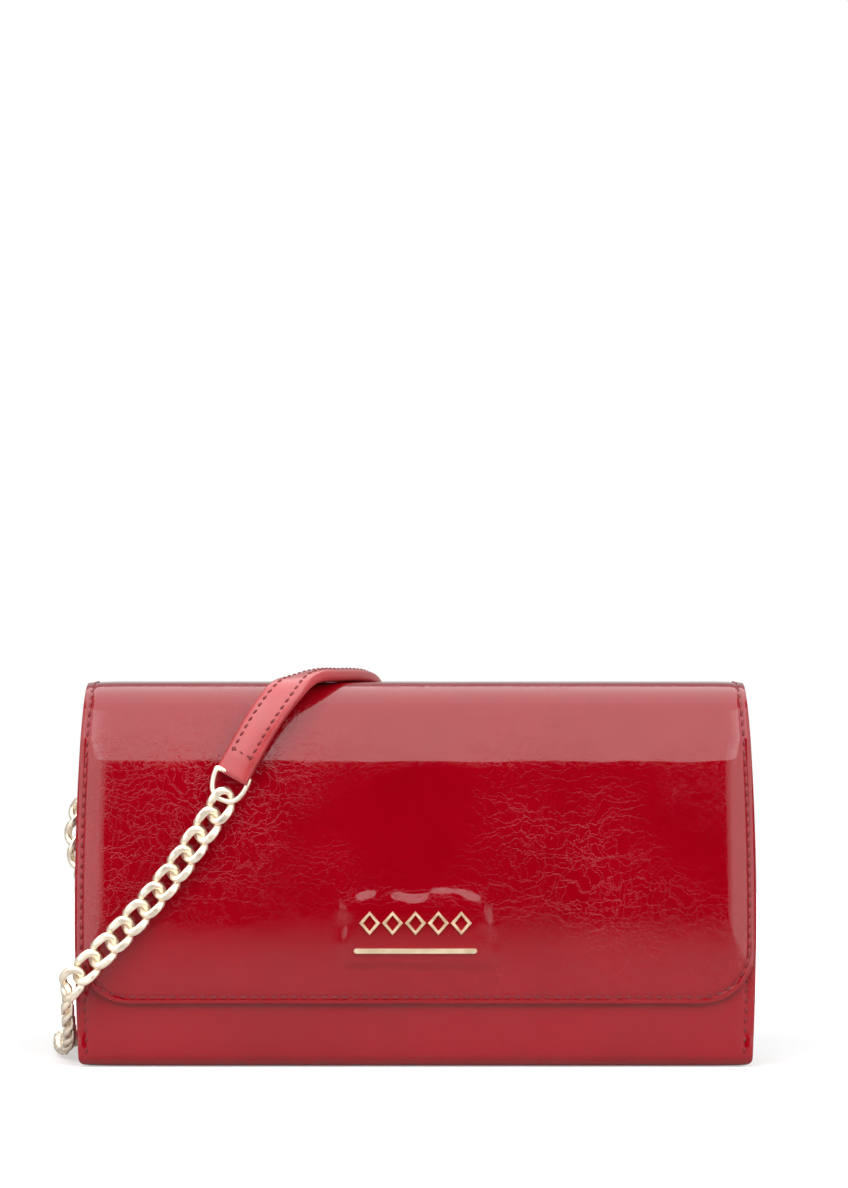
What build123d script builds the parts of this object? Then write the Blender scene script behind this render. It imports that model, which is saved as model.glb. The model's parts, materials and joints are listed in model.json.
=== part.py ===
from build123d import *
import math
import os

# Clutch purse with a front flap, a magnetic snap and a chain shoulder strap.
# Millimetres. X is the width, -Y is the front, +Z is up. The origin is the middle of the base.

os.makedirs("parts", exist_ok=True)

# Driving dimensions of the bag
HEIGHT = 131.0
WIDTH_TOP = 226.0
WIDTH_MID = 232.0
WIDTH_BASE = 230.0
MID_HEIGHT = 78.0
DEPTH = 40.0
MOUTH = 112.0
BACK_TOP = 128.0
BASE_CORNER = 4.0

# Layers of a wall, from the outside in
LEATHER = 1.4
BOARD = 0.8
LINING = 0.6
GUSSET = 1.2
CLEAR = 0.3
BASE_BOARD = 1.0
BOARD_INSET = 5.0
LINING_INSET = 4.0
MARGIN = 3.0

# Flap
FLAP_LOW = 21.6
FLAP_CORNER = 19.0
FLAP_BEND = 8.0
FLAP_BOARD = 0.6
FLAP_FRONT = -DEPTH / 2 - CLEAR - LINING - FLAP_BOARD - LEATHER
FLAP_LINING_INSET = 0.8
FLAP_BOARD_INSET = 4.0

# Gussets, which fold inwards
GUSSET_X = 112.0
FOLD_X = 99.0
FLANGE = 5.0
BINDING = 8.0

# Magnetic snap
SNAP_Z = 46.0
SNAP_D = 16.0
SNAP_HOLE = 7.6
STUD_D = 4.6
STUD = 1.4

# Ornament on the flap
BAR_Z = 40.0
BAR_LENGTH = 42.0
BAR_HEIGHT = 1.7
LOZENGE_Z = 49.5
LOZENGE_W = 7.2
LOZENGE_H = 8.2
LOZENGES = 5
LOZENGE_PITCH = 7.8
ORNAMENT = 1.1
FRET = 1.2

# Zip pocket in the back wall and the pockets sewn to the lining
ZIP_Z = 104.0
ZIP_LENGTH = 160.0
ZIP_SLOT = 8.0
TAPE = 0.5
COIL = 1.2
TAPE_W = 14.0
TOOTH = 2.2
TOOTH_PITCH = 3.2
SLIDER_W = 9.0
SLIDER_X = -70.0
SLIDER_THICK = 1.2
BRIDGE = 1.8
ZIP_BAG_LOW = 30.0
PULL_LENGTH = 26.0
PULL_W = 5.0
CARD_X = (-92.0, -2.0)
CARD_TOPS = (86.0, 72.0, 58.0)
POCKET_LOW = 6.0
SLIP_HALF = 88.0
SLIP_TOP = 82.0

# Strap fittings and strap
RING_X = 104.0
RING_WIRE = 2.0
RING_DROP = 11.0
TAB_W = 12.0
TAB_Z = 122.0
TAB_LENGTH = 12.0
TAB_THICK = 4.0
TAB_EYE = 10.0
RIVET_D = 5.0
RIVET_DROP = 4.0
RIVET_HEAD = 0.8
STRAP_D = 6.0
PAD_RING_WIRE = 1.8
PAD_RING_HALF = 6.0
PAD_RING_DROP = 9.5
PAD_RING_GAP = 1.4


def outline(low, high, inset=0.0):
    """Front view of the bag between two heights, with its bowed sides."""
    base, mid, top = (w / 2 - inset for w in (WIDTH_BASE, WIDTH_MID, WIDTH_TOP))
    right = ThreePointArc((base, 0), (mid, MID_HEIGHT), (top, HEIGHT))
    left = ThreePointArc((-top, HEIGHT), (-mid, MID_HEIGHT), (-base, 0))
    loop = [right, Line((top, HEIGHT), (-top, HEIGHT)), left, Line((-base, 0), (base, 0))]
    band = Pos(0, (low + high) / 2) * Rectangle(2 * WIDTH_MID, high - low)
    return make_face(loop) & band


def round_low(face, radius):
    """Round the two lowest corners of a front view."""
    return fillet(face.vertices().group_by(Axis.Y)[0], radius)


def slab(face, front, back):
    """A front view given thickness from y = front to y = back."""
    return extrude(Plane.XZ.offset(-back) * face, back - front)


def block(x0, x1, y0, y1, z0, z1):
    centre = ((x0 + x1) / 2, (y0 + y1) / 2, (z0 + z1) / 2)
    return Pos(*centre) * Box(x1 - x0, y1 - y0, z1 - z0)


def rod(x, z, diameter, front, back):
    """A round bar along Y."""
    return slab(Pos(x, z) * Circle(diameter / 2), front, back)


def save(name, shape):
    export_step(shape, f"parts/{name}.step")


# ---------------------------------------------------------------- fixed walls
front_out = -DEPTH / 2
front_in = front_out + LEATHER + BOARD + LINING
back_out = DEPTH / 2
back_in = back_out - LEATHER - BOARD - 2 * LINING
snap_bore = rod(0, SNAP_Z, SNAP_D, -DEPTH, 0)

front_leather = slab(round_low(outline(0, MOUTH), BASE_CORNER), front_out, front_out + LEATHER)
save("front_panel", front_leather - snap_bore)
front_view = outline(LINING_INSET, MOUTH - MARGIN, BOARD_INSET)
front_board = slab(front_view, front_out + LEATHER, front_out + LEATHER + BOARD)
save("front_board", front_board - snap_bore)
save("front_lining", slab(outline(LINING_INSET, MOUTH, LINING_INSET), front_in - LINING, front_in))

save("back_panel", slab(round_low(outline(0, BACK_TOP), BASE_CORNER), back_out - LEATHER, back_out))
bag_back = back_out - LEATHER - BOARD
back_view = outline(LINING_INSET, BACK_TOP - MARGIN, BOARD_INSET)
save("back_board", slab(back_view, bag_back, back_out - LEATHER))

zip_slot = block(-ZIP_LENGTH / 2, ZIP_LENGTH / 2, 0, DEPTH, ZIP_Z - ZIP_SLOT / 2, ZIP_Z + ZIP_SLOT / 2)
pocket_half = ZIP_LENGTH / 2 + 10
pocket = block(-pocket_half, pocket_half, bag_back - LINING, bag_back, ZIP_BAG_LOW, ZIP_Z + 8)
save("zip_pocket_bag", pocket)
lining_view = outline(LINING_INSET, BACK_TOP - 1, LINING_INSET)
save("back_lining", slab(lining_view, back_in, back_in + LINING) - zip_slot)

base_half = WIDTH_BASE / 2 - BASE_CORNER
inner_y = DEPTH / 2 - LEATHER
save("base_panel", block(-base_half, base_half, -inner_y, inner_y, 0, LEATHER))
deck_half = FOLD_X - GUSSET - 1.0
deck = LEATHER + BASE_BOARD
save("base_board", block(-deck_half, deck_half, front_in, back_in, LEATHER, deck))
save("base_lining", block(-deck_half, deck_half, front_in, back_in, deck, deck + LINING))

# Each gusset is one strip: a flange, a leaf, the fold, a leaf and a flange
for side, name in ((-1, "left"), (1, "right")):
    outer = [
        (GUSSET_X - FLANGE, front_in),
        (GUSSET_X, front_in),
        (GUSSET_X, front_in + GUSSET),
        (FOLD_X, 0),
        (GUSSET_X, back_in - GUSSET),
        (GUSSET_X, back_in),
        (GUSSET_X - FLANGE, back_in),
        (FOLD_X - 1.6 * GUSSET, 0),
    ]
    section = make_face(Polyline([(side * x, y) for x, y in outer], close=True))
    save(f"{name}_gusset", extrude(Pos(0, 0, LEATHER) * section, MOUTH - 2 - LEATHER))

# Turned binding strip on the mouth of the front wall
binding = slab(outline(MOUTH - BINDING, MOUTH, 1.0), front_in, front_in + LINING)
binding_half = GUSSET_X - FLANGE - 1
save("mouth_binding", binding & block(-binding_half, binding_half, -DEPTH, DEPTH, 0, HEIGHT))

# ---------------------------------------------------------------- pockets
for step, top in enumerate(CARD_TOPS, start=1):
    near = back_in - step * LINING
    save(f"card_slot_{step}", block(*CARD_X, near, near + LINING, POCKET_LOW, top))
save("slip_pocket", block(-SLIP_HALF, SLIP_HALF, front_in, front_in + LINING, POCKET_LOW, SLIP_TOP))

tape_half = ZIP_LENGTH / 2 + 6
tape_reach = TAPE_W / 2
tape = block(-tape_half, tape_half, back_in - TAPE, back_in, ZIP_Z - tape_reach, ZIP_Z + tape_reach)
save("zip_tape", tape)
coil_back = back_in - TAPE
coil_front = coil_back - COIL
teeth = Part() + [
    block(x, x + TOOTH, coil_front, coil_back, ZIP_Z - 2, ZIP_Z + 2)
    for x in (-ZIP_LENGTH / 2 + TOOTH_PITCH * i for i in range(int(ZIP_LENGTH / TOOTH_PITCH)))
]
save("zip_teeth", teeth)
stops = [
    block(x, x + 2.5, coil_front, coil_back, ZIP_Z - 3.5, ZIP_Z + 3.5)
    for x in (-ZIP_LENGTH / 2 - 3.0, ZIP_LENGTH / 2 + 0.8)
]
save("zip_stops", Part() + stops)
slider_back = coil_front - CLEAR
slider_front = slider_back - SLIDER_THICK
pull_front = slider_front - BRIDGE
slider_low, slider_high = SLIDER_X - SLIDER_W / 2, SLIDER_X + SLIDER_W / 2
slider = block(slider_low, slider_high, slider_front, slider_back, ZIP_Z - 4, ZIP_Z + 4)
bridge = block(slider_low + 1, slider_high - 1, pull_front, slider_front, ZIP_Z - 1, ZIP_Z + 1)
save("zip_slider", slider + bridge)
pull_view = Pos(SLIDER_X, ZIP_Z - PULL_LENGTH / 2) * SlotOverall(PULL_LENGTH, PULL_W, rotation=90)
pull = slab(pull_view, pull_front + 0.4, pull_front + 1.4)
pull_window = block(SLIDER_X - SLIDER_W, SLIDER_X + SLIDER_W, -DEPTH, DEPTH, ZIP_Z - 1, ZIP_Z + 1)
save("zip_pull", pull - pull_window)

# ---------------------------------------------------------------- flap


def flap_layer(depth_in, thickness, inset):
    """One layer of the flap: over the top, round the bend and down the front."""
    corners = []
    for skin in (depth_in, depth_in + thickness):
        y0, z1 = FLAP_FRONT + skin, HEIGHT - skin
        y1 = back_out
        rect = Pos((y0 + y1) / 2, z1 / 2) * Rectangle(y1 - y0, z1)
        bend = rect.vertices().sort_by(Axis.X)[:2].sort_by(Axis.Y)[-1]
        corners.append(fillet(bend, FLAP_BEND - skin))
    section = corners[0] - corners[1]
    solid = extrude(Plane.YZ * section, WIDTH_MID / 2 + 5, both=True)
    view = round_low(outline(FLAP_LOW + inset, HEIGHT, inset), FLAP_CORNER - inset)
    return solid & slab(view, -DEPTH, DEPTH)


snap_face = FLAP_FRONT + LEATHER
snap_pocket = rod(0, SNAP_Z, SNAP_D, snap_face, 0)
save("flap_leather", flap_layer(0, LEATHER, 0))
save("flap_board", flap_layer(LEATHER, FLAP_BOARD, FLAP_BOARD_INSET) - snap_pocket)
save("flap_lining", flap_layer(LEATHER + FLAP_BOARD, LINING, FLAP_LINING_INSET) - snap_pocket)

# ---------------------------------------------------------------- magnetic snap
flap_in = -DEPTH / 2 - CLEAR
cap = rod(0, SNAP_Z, SNAP_D, snap_face, flap_in)
save("snap_cap", cap + rod(0, SNAP_Z, STUD_D, flap_in, flap_in + CLEAR + STUD))
socket_back = front_out + LEATHER + BOARD
socket = rod(0, SNAP_Z, SNAP_D, front_out, socket_back)
save("snap_socket", socket - rod(0, SNAP_Z, SNAP_HOLE, -DEPTH, socket_back - 0.4))

# ---------------------------------------------------------------- ornament
ornament_front = FLAP_FRONT - ORNAMENT
save("ornament_bar", slab(Pos(0, BAR_Z) * SlotOverall(BAR_LENGTH, BAR_HEIGHT), ornament_front, FLAP_FRONT))


def lozenge(width, height):
    corners = [(-width / 2, 0), (0, height / 2), (width / 2, 0), (0, -height / 2)]
    return make_face(Polyline(corners, close=True))


ring_face = lozenge(LOZENGE_W, LOZENGE_H) - lozenge(LOZENGE_W - 2.4 * FRET, LOZENGE_H - 2.4 * FRET)
first = -(LOZENGES - 1) / 2 * LOZENGE_PITCH
frets = [
    slab(Pos(first + i * LOZENGE_PITCH, LOZENGE_Z) * ring_face, ornament_front, FLAP_FRONT)
    for i in range(LOZENGES)
]
save("ornament_frets", Part() + frets)

# ---------------------------------------------------------------- strap fittings


def d_ring(place, half, drop, wire):
    """A D-shaped wire ring: its bar lies along the plane's X, its bow hangs towards -Y."""
    shoulder = 0.32 * drop
    corners = [(half, 0), (half, -drop + shoulder), (0.45 * half, -drop), (-0.45 * half, -drop),
               (-half, -drop + shoulder), (-half, 0)]
    bow = place * FilletPolyline(corners, radius=0.3 * drop)
    ring = sweep(Plane(origin=bow @ 0, z_dir=bow % 0) * Circle(wire / 2), path=bow)
    bar = place * Rot(0, 90, 0) * Cylinder(wire / 2, 2 * half)
    ends = [place * Pos(s * half, 0) * Sphere(wire / 2) for s in (-1, 1)]
    return ring + bar + ends


bar_y = back_out + TAB_THICK / 2
tab_front = back_out + TAB_THICK
for side, name in ((-1, "left"), (1, "right")):
    x = side * RING_X
    strip = block(x - TAB_W / 2, x + TAB_W / 2, back_out, tab_front, TAB_Z - TAB_LENGTH, TAB_Z)
    eye = Pos(x, bar_y, TAB_Z - TAB_EYE) * Rot(0, 90, 0) * Cylinder(RING_WIRE / 2, TAB_W)
    save(f"{name}_ring_tab", strip - eye)
    on_back = Plane((x, bar_y, TAB_Z - TAB_EYE), x_dir=(1, 0, 0), z_dir=(0, -1, 0))
    save(f"{name}_d_ring", d_ring(on_back, TAB_W / 2 + 1.2, RING_DROP, RING_WIRE))
    save(f"{name}_tab_rivet", rod(x, TAB_Z - RIVET_DROP, RIVET_D, tab_front, tab_front + RIVET_HEAD))

# ---------------------------------------------------------------- strap
# A curb chain runs from each D-ring to a ring at one end of the leather shoulder pad. The strap
# is draped over the flap: its front part lies on the flap, the rest on the ground at the back.

SIDE_CHAIN = [
    (-104, 24, 98), (-111.5, 24.6, 91), (-116.5, 25.6, 80.5), (-116, 26.5, 67), (-110.5, 27.6, 53),
    (-104.5, 29.4, 41), (-98.5, 32, 30.5), (-92, 37, 20), (-86.5, 45, 10.5), (-84, 58, 4.4),
    (-88.5, 71.5, 3.2), (-100.5, 79, 3.2), (-113.5, 75.5, 3.2), (-121.5, 64, 3.2),
    (-124, 50, 3.2), (-123.2, 36, 3.2), (-121.8, 22, 3.4), (-121.2, 8, 6),
    (-120.9, -5, 11.8), (-121.2, -16.6, 21),
]
FRONT_CHAIN = [
    (-121.4, -26.6, 28), (-113.2, -28.2, 34.5), (-101.8, -26.8, 44.8), (-90.8, -26.6, 56.2),
    (-80.6, -26.8, 68.6), (-72.8, -26.6, 80), (-67.0, -26.8, 89),
]
PAD_FRONT = [
    (-61.5, -26.8, 101), (-56.5, -27.0, 110.5), (-50.8, -27.4, 120.5), (-44.6, -26.6, 130),
    (-37.8, -18.5, 136.4), (-31, -8, 137), (-25.5, 2.5, 136.2),
]
PAD_REAR = [
    (-13.5, 27.5, 119), (-9.5, 28.2, 103), (-4, 28.8, 86), (2, 29.8, 68), (6.5, 32, 50),
    (8.5, 37.5, 33), (7.5, 47, 18.5), (2.5, 58.5, 7.5), (-7, 69.5, 3.4), (-20, 76.5, 3.2),
    (-35, 78, 3.2),
]
REAR_CHAIN = [
    (-47.5, 77, 3.2), (-60.5, 72.5, 3.2), (-68.5, 61, 3.2), (-68.5, 46.5, 3.2), (-59, 35, 3.2),
    (-45, 30, 3.2), (-29, 28.5, 3.2), (-11, 28.8, 3.2), (7, 27.6, 3.2), (25, 29, 3.2),
    (43, 33, 3.2), (61, 35, 3.2), (78, 33, 4), (93, 29.5, 9), (103, 27.2, 20.5),
    (107.5, 26, 35), (107.5, 25.4, 52), (105.5, 24.8, 75), (104, 24, 98),
]


def tube(name, route):
    """A cord of round section: straight runs joined by tangent arcs, as large as the runs allow."""
    points = [Vector(*p) for p in route]
    radii = []
    for a, b, c in zip(points, points[1:], points[2:]):
        turn = math.radians((b - a).get_angle(c - b))
        run = min((b - a).length, (c - b).length)
        radii.append(0.45 * run / math.tan(turn / 2))
    path = FilletPolyline(route, radius=radii)
    cord = sweep(Plane(origin=path @ 0, z_dir=path % 0) * Circle(STRAP_D / 2), path=path)
    ratio = cord.volume / (math.pi * STRAP_D**2 / 4 * path.length)
    runs = ", ".join(f"{(b - a).length:.0f}" for a, b in zip(points, points[1:]))
    print(f"{name}: length {path.length:.1f}, volume ratio {ratio:.4f}")
    print(f"  radii {', '.join(f'{r:.0f}' for r in radii)}; runs {runs}")
    save(name, cord)


tube("chain_side", SIDE_CHAIN)
tube("chain_front", FRONT_CHAIN)
tube("pad_front", PAD_FRONT)
tube("pad_rear", PAD_REAR)
tube("chain_rear", REAR_CHAIN)

# A D-ring at each end of the pad, in line with it
for name, end, inner, up in (
    ("pad_ring_front", PAD_FRONT[0], PAD_FRONT[1], Vector(0, -1, 0)),
    ("pad_ring_rear", PAD_REAR[-1], PAD_REAR[-2], Vector(0, 0, 1)),
):
    along = (Vector(*inner) - Vector(*end)).normalized()
    across = along.cross(up).normalized()
    centre = Vector(*end) - along * PAD_RING_GAP
    flat = Plane(centre, x_dir=across, z_dir=across.cross(along))
    save(name, d_ring(flat, PAD_RING_HALF, PAD_RING_DROP, PAD_RING_WIRE))
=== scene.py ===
import json
import math
import bpy
import bmesh
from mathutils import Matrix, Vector, noise


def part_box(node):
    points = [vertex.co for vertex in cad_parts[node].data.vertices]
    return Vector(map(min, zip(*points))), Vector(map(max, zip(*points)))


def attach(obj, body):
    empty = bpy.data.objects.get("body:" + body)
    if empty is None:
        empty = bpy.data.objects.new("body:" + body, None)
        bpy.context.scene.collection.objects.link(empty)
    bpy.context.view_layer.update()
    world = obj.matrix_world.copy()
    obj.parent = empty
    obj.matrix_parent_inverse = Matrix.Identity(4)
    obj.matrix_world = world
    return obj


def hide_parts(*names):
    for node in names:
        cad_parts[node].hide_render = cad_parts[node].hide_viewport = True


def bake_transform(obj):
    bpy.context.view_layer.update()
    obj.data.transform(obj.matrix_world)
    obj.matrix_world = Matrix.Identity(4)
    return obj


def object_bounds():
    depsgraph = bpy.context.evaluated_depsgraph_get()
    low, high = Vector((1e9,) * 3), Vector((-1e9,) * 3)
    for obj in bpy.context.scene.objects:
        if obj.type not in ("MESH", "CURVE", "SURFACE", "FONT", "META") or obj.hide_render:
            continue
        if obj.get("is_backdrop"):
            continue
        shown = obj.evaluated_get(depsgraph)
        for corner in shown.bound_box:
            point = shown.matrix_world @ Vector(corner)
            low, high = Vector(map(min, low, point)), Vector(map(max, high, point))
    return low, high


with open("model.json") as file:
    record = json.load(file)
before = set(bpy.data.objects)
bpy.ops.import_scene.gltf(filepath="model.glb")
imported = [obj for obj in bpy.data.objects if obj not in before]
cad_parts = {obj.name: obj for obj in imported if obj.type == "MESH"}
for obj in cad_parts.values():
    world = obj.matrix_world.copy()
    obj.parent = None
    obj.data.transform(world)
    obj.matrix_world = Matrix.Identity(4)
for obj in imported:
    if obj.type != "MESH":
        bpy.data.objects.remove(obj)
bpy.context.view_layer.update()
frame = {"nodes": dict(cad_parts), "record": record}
MM = 0.001

# ---------------------------------------------------------------- sizes, in millimetres
# The walls come from the frame; the looks' own sizes are named here.
NODE = {}
for node_name in ("front_panel", "back_panel", "base_panel", "flap_leather", "left_gusset"):
    low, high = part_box(node_name)
    NODE[node_name] = (Vector(low) * 1000, Vector(high) * 1000)
HEIGHT = NODE["flap_leather"][1].z
MOUTH = NODE["front_panel"][1].z
BACK_TOP = NODE["back_panel"][1].z
FRONT = NODE["front_panel"][0].y
BACK = NODE["back_panel"][1].y
FLAP_LOW = NODE["flap_leather"][0].z
FLAP_FRONT = NODE["flap_leather"][0].y
HALF_TOP, HALF_MID, HALF_BASE, MID_HEIGHT = 113.0, 116.0, 115.0, 78.0
FLAP_CORNER = 19.0
THREAD = 0.88


def half_width(z):
    """Half the bag's width at a height, on the same bow as its walls."""
    a, b, c = (0.0, HALF_BASE), (MID_HEIGHT, HALF_MID), (HEIGHT, HALF_TOP)
    total = 0.0
    for p, q, r in ((a, b, c), (b, a, c), (c, a, b)):
        total += p[1] * (z - q[0]) * (z - r[0]) / ((p[0] - q[0]) * (p[0] - r[0]))
    return total


def smooth(t):
    t = min(max(t, 0.0), 1.0)
    return t * t * (3 - 2 * t)


# ---------------------------------------------------------------- materials


class Nodes:
    """A material's node tree with short calls to add and link nodes."""

    def __init__(self, name):
        self.material = bpy.data.materials.new(name)
        self.material.use_nodes = True
        self.tree = self.material.node_tree
        self.shader = self.tree.nodes["Principled BSDF"]
        self.object = self.add("ShaderNodeTexCoord").outputs["Object"]

    def add(self, kind, **settings):
        node = self.tree.nodes.new(kind)
        for key, value in settings.items():
            setattr(node, key, value)
        return node

    def put(self, socket, value):
        if isinstance(value, bpy.types.NodeSocket):
            self.tree.links.new(value, socket)
        else:
            socket.default_value = value

    def noise(self, scale, detail=3.0, rough=0.55, vector=None, distortion=0.0):
        node = self.add("ShaderNodeTexNoise")
        self.put(node.inputs["Vector"], vector or self.object)
        node.inputs["Scale"].default_value = scale
        node.inputs["Detail"].default_value = detail
        node.inputs["Roughness"].default_value = rough
        node.inputs["Distortion"].default_value = distortion
        return node

    def math(self, operation, a, b=0.0, clamp=False):
        node = self.add("ShaderNodeMath", operation=operation, use_clamp=clamp)
        self.put(node.inputs[0], a)
        self.put(node.inputs[1], b)
        return node.outputs[0]

    def ramp(self, value, low, high, out_low=0.0, out_high=1.0):
        node = self.add("ShaderNodeMapRange", interpolation_type="SMOOTHSTEP")
        self.put(node.inputs["Value"], value)
        ends = {"From Min": low, "From Max": high, "To Min": out_low, "To Max": out_high}
        for name, number in ends.items():
            node.inputs[name].default_value = number
        return node.outputs[0]

    def colours(self, value, stops):
        node = self.add("ShaderNodeValToRGB")
        self.put(node.inputs[0], value)
        band = node.color_ramp
        while len(band.elements) < len(stops):
            band.elements.new(0.5)
        for element, (place, colour) in zip(band.elements, stops):
            element.position = place
            element.color = (*colour, 1.0)
        return node.outputs[0]

    def bump(self, height, strength, distance, normal=None):
        node = self.add("ShaderNodeBump")
        self.put(node.inputs["Height"], height)
        node.inputs["Strength"].default_value = strength
        node.inputs["Distance"].default_value = distance
        if normal is not None:
            self.put(node.inputs["Normal"], normal)
        return node.outputs[0]

    def set(self, **values):
        for key, value in values.items():
            self.put(self.shader.inputs[key.replace("_", " ")], value)
        return self.material


def crease_lines(n, scale, stretch, width, warp):
    """Thin wandering lines: the edges of warped cells, one along each."""
    drift = n.noise(scale * 0.6, detail=4.0, rough=0.6)
    mixed = n.add("ShaderNodeMix", data_type="VECTOR")
    mixed.inputs[0].default_value = warp
    n.put(mixed.inputs[4], n.object)
    n.put(mixed.inputs[5], drift.outputs["Color"])
    squeeze = n.add("ShaderNodeMapping")
    n.put(squeeze.inputs["Vector"], mixed.outputs[1])
    squeeze.inputs["Scale"].default_value = stretch
    cells = n.add("ShaderNodeTexVoronoi", feature="DISTANCE_TO_EDGE")
    n.put(cells.inputs["Vector"], squeeze.outputs["Vector"])
    cells.inputs["Scale"].default_value = scale
    return n.ramp(cells.outputs["Distance"], 0.0, width, 1.0, 0.0)


def patent_leather(name, crinkle):
    """Dark red leather under a thick clear coat. Its fine creases catch the light, and a painted highlight
    tints them lighter pink in the base colour as well.
    """
    n = Nodes(name)
    long_lines = crease_lines(n, 105, (0.5, 1.0, 2.8), 0.020, 0.024)
    fine_lines = crease_lines(n, 210, (0.6, 1.0, 3.0), 0.03, 0.02)
    steep_lines = crease_lines(n, 110, (2.6, 1.0, 0.55), 0.020, 0.022)
    where = n.noise(14, detail=2.0, rough=0.5).outputs["Fac"]
    patch = n.ramp(where, 0.30, 0.66)
    other = n.ramp(n.noise(19, detail=2.0, rough=0.5).outputs["Fac"], 0.40, 0.64)
    lines = n.math("MULTIPLY", long_lines, patch)
    lines = n.math("MAXIMUM", lines, n.math("MULTIPLY", n.math("MULTIPLY", fine_lines, 0.28), other))
    lines = n.math("MAXIMUM", lines, n.math("MULTIPLY", n.math("MULTIPLY", steep_lines, 0.7), patch))
    grain = n.noise(900, detail=2.0).outputs["Fac"]
    swell = n.noise(30, detail=3.0, rough=0.5).outputs["Fac"]
    relief = n.bump(swell, 0.10 * crinkle, 0.0008)
    relief = n.bump(lines, 0.30 * crinkle, 0.00009, relief)
    crush = n.noise(210, detail=5.0, rough=0.65).outputs["Fac"]
    relief = n.bump(n.math("MULTIPLY", crush, patch), 0.25 * crinkle, 0.00016, relief)
    under = n.bump(grain, 0.15, 0.00006, relief)
    shade = n.colours(
        n.noise(26, detail=4.0, rough=0.6).outputs["Fac"],
        [(0.25, (0.205, 0.0001, 0.0040)), (0.75, (0.25, 0.0003, 0.0055))],
    )
    # Painted highlight: the base colour turns lighter pink along the crease lines, standing in for the light
    # that the creases catch.
    crease_highlight_paint = n.add("ShaderNodeMix", data_type="RGBA")
    n.put(crease_highlight_paint.inputs[0], n.math("MULTIPLY", lines, 0.12 * crinkle))
    n.put(crease_highlight_paint.inputs[6], shade)
    crease_highlight_paint.inputs[7].default_value = (0.50, 0.045, 0.06, 1.0)
    return n.set(
        Base_Color=crease_highlight_paint.outputs[2], Roughness=0.5, Normal=under, Specular_IOR_Level=0.0,
        Coat_Weight=1.0, Coat_Roughness=0.035, Coat_IOR=1.52, Coat_Normal=relief,
    )


def satin_leather(name):
    """Smooth red strap leather with a fine grain and a soft sheen."""
    n = Nodes(name)
    pores = n.noise(1400, detail=2.0).outputs["Fac"]
    folds = n.noise(160, detail=3.0, rough=0.6).outputs["Fac"]
    relief = n.bump(folds, 0.25, 0.0004)
    relief = n.bump(pores, 0.3, 0.00008, relief)
    shade = n.colours(folds, [(0.3, (0.34, 0.022, 0.026)), (0.7, (0.41, 0.034, 0.038))])
    gloss = n.ramp(folds, 0.3, 0.7, 0.30, 0.40)
    return n.set(
        Base_Color=shade, Roughness=gloss, Normal=relief,
        Coat_Weight=0.6, Coat_Roughness=0.34, Coat_IOR=1.5,
    )


def edge_paint(name):
    n = Nodes(name)
    wear = n.noise(240, detail=4.0, rough=0.6).outputs["Fac"]
    shade = n.colours(wear, [(0.3, (0.20, 0.004, 0.010)), (0.7, (0.30, 0.010, 0.018))])
    return n.set(
        Base_Color=shade, Roughness=n.ramp(wear, 0.3, 0.7, 0.32, 0.5),
        Normal=n.bump(wear, 0.3, 0.0003),
    )


def thread(name):
    """Red polyester thread: two plies that catch the light."""
    n = Nodes(name)
    ply = n.noise(3200, detail=1.0).outputs["Fac"]
    shade = n.colours(ply, [(0.3, (0.09, 0.0008, 0.003)), (0.7, (0.22, 0.002, 0.008))])
    return n.set(Base_Color=shade, Roughness=0.45, Normal=n.bump(ply, 0.5, 0.0001))


def cloth(name, dark, light, pitch):
    """A plain weave of two crossing sets of threads, free of UVs."""
    n = Nodes(name)
    split = n.add("ShaderNodeSeparateXYZ")
    n.put(split.inputs[0], n.object)
    turn = 2 * math.pi / (pitch * MM)
    across = n.math("SINE", n.math("MULTIPLY", split.outputs["X"], turn))
    rise = n.math("ADD", split.outputs["Z"], split.outputs["Y"])
    along = n.math("SINE", n.math("MULTIPLY", rise, turn))
    weave = n.ramp(n.math("MULTIPLY", across, along), -1.0, 1.0)
    slub = n.noise(220, detail=4.0, rough=0.6).outputs["Fac"]
    mix = n.math("ADD", n.math("MULTIPLY", weave, 0.5), n.math("MULTIPLY", slub, 0.5))
    shade = n.colours(mix, [(0.2, dark), (0.8, light)])
    return n.set(Base_Color=shade, Roughness=0.62, Sheen_Weight=0.3, Normal=n.bump(weave, 0.35, 0.0001))


def metal(name, dark, light, rough_low, rough_high, relief):
    n = Nodes(name)
    smear = n.noise(300, detail=4.0, rough=0.6).outputs["Fac"]
    grain = n.noise(2600, detail=2.0).outputs["Fac"]
    shade = n.colours(smear, [(0.3, dark), (0.7, light)])
    return n.set(
        Base_Color=shade, Metallic=1.0, Roughness=n.ramp(smear, 0.3, 0.7, rough_low, rough_high),
        Normal=n.bump(grain, relief, 0.00005),
    )


def fibre_board(name):
    n = Nodes(name)
    fleck = n.noise(700, detail=4.0, rough=0.7).outputs["Fac"]
    shade = n.colours(fleck, [(0.3, (0.42, 0.36, 0.27)), (0.7, (0.62, 0.55, 0.44))])
    return n.set(Base_Color=shade, Roughness=0.85, Normal=n.bump(fleck, 0.4, 0.0002))


PATENT = patent_leather("patent_leather", 1.0)
PATENT_SMOOTH = patent_leather("patent_leather_smooth", 0.35)
SATIN = satin_leather("strap_leather")
EDGE = edge_paint("edge_paint")
THREAD_RED = thread("thread_red")
LINING = cloth("lining_cloth", (0.10, 0.004, 0.010), (0.20, 0.012, 0.022), 0.55)
ZIP_CLOTH = cloth("zip_cloth", (0.07, 0.003, 0.008), (0.15, 0.008, 0.016), 0.8)
CHAIN = metal("pale_gold_chain", (0.84, 0.71, 0.55), (0.94, 0.84, 0.70), 0.32, 0.46, 0.25)
GOLD = metal("pale_gold", (0.88, 0.66, 0.42), (0.97, 0.79, 0.57), 0.34, 0.46, 0.15)
BOARD = fibre_board("fibre_board")

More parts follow.
